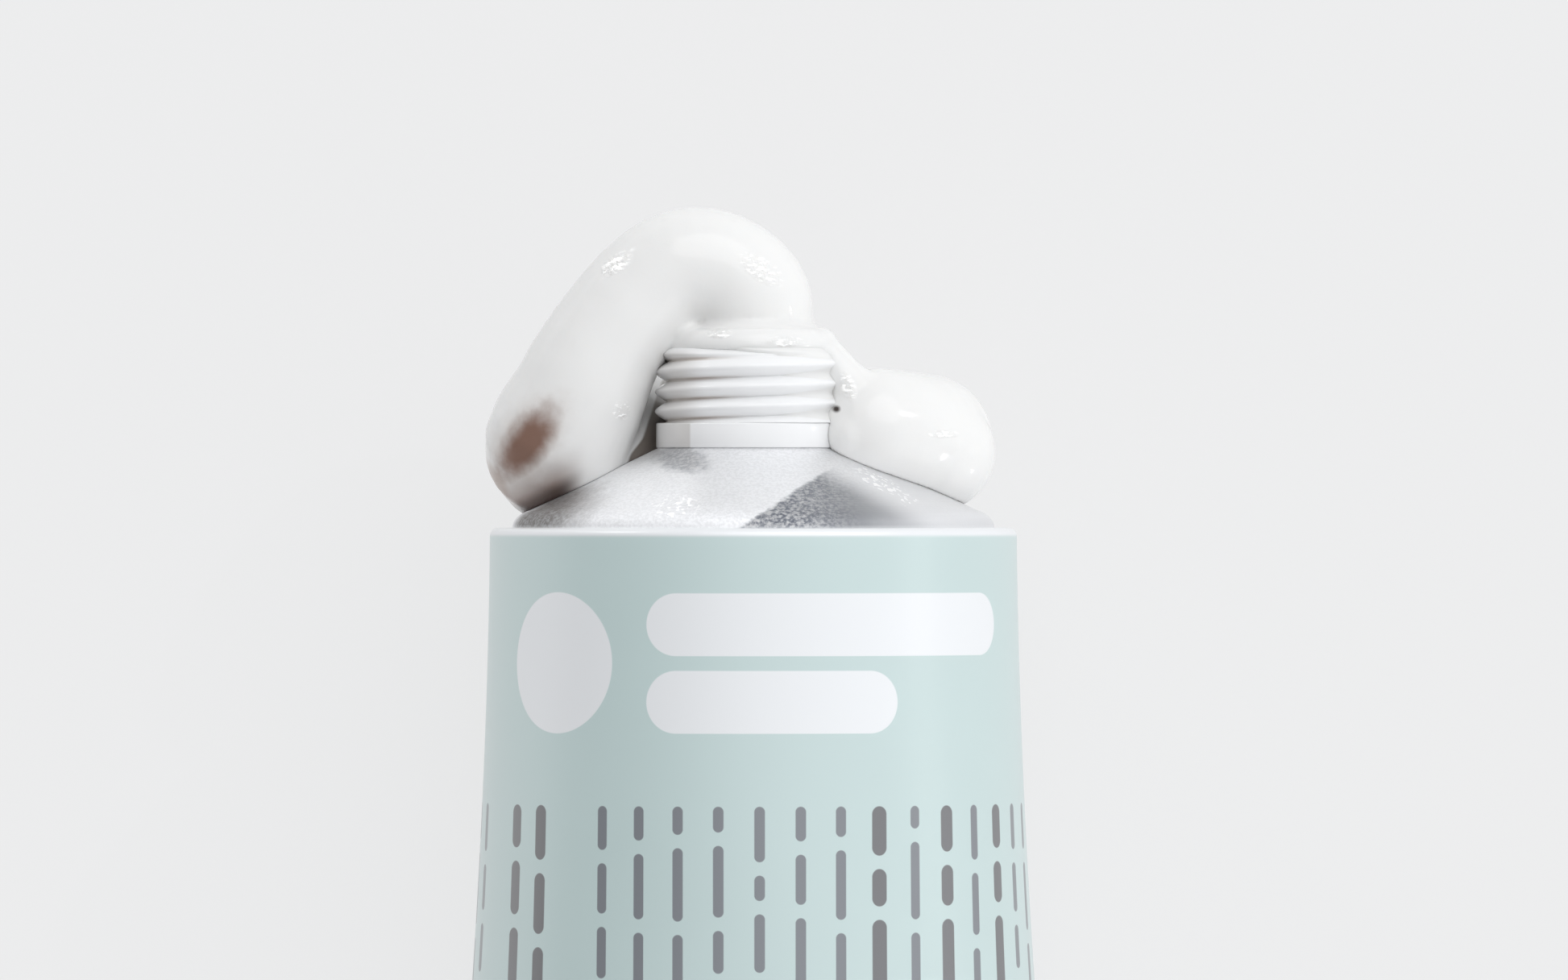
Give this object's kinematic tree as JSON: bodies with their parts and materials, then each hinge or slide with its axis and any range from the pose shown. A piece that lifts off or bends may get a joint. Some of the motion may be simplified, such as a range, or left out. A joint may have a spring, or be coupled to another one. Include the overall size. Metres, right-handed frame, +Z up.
{
  "type": "squeezed toothpaste tube",
  "caption": "Metal paste tube with a folded end, a round shoulder and a threaded nozzle, lying on its back, with a thick bead of white paste curled from the nozzle round its neck",
  "frame": {"origin": "middle of the part's box, on the ground it lies on", "axes": "+Z up towards the printed front, +Y along the ground from the folded end to the nozzle, +X to the right seen from above with the nozzle at the top"},
  "size_m": [0.0628, 0.1778, 0.0397],
  "materials": {
    "mint_enamel": "semi-gloss pale mint enamel on a drawn aluminium tube, white at the rim, with the shoulder left as bare satin metal",
    "white_plastic": "glossy white moulded nozzle with a fine thread",
    "white_paste": "wet, glossy off-white paste with a small brown smear"
  },
  "bodies": {
    "root": {"tube": "mint_enamel", "nozzle": "white_plastic", "toothpaste": "white_paste"}
  },
  "joints": []
}
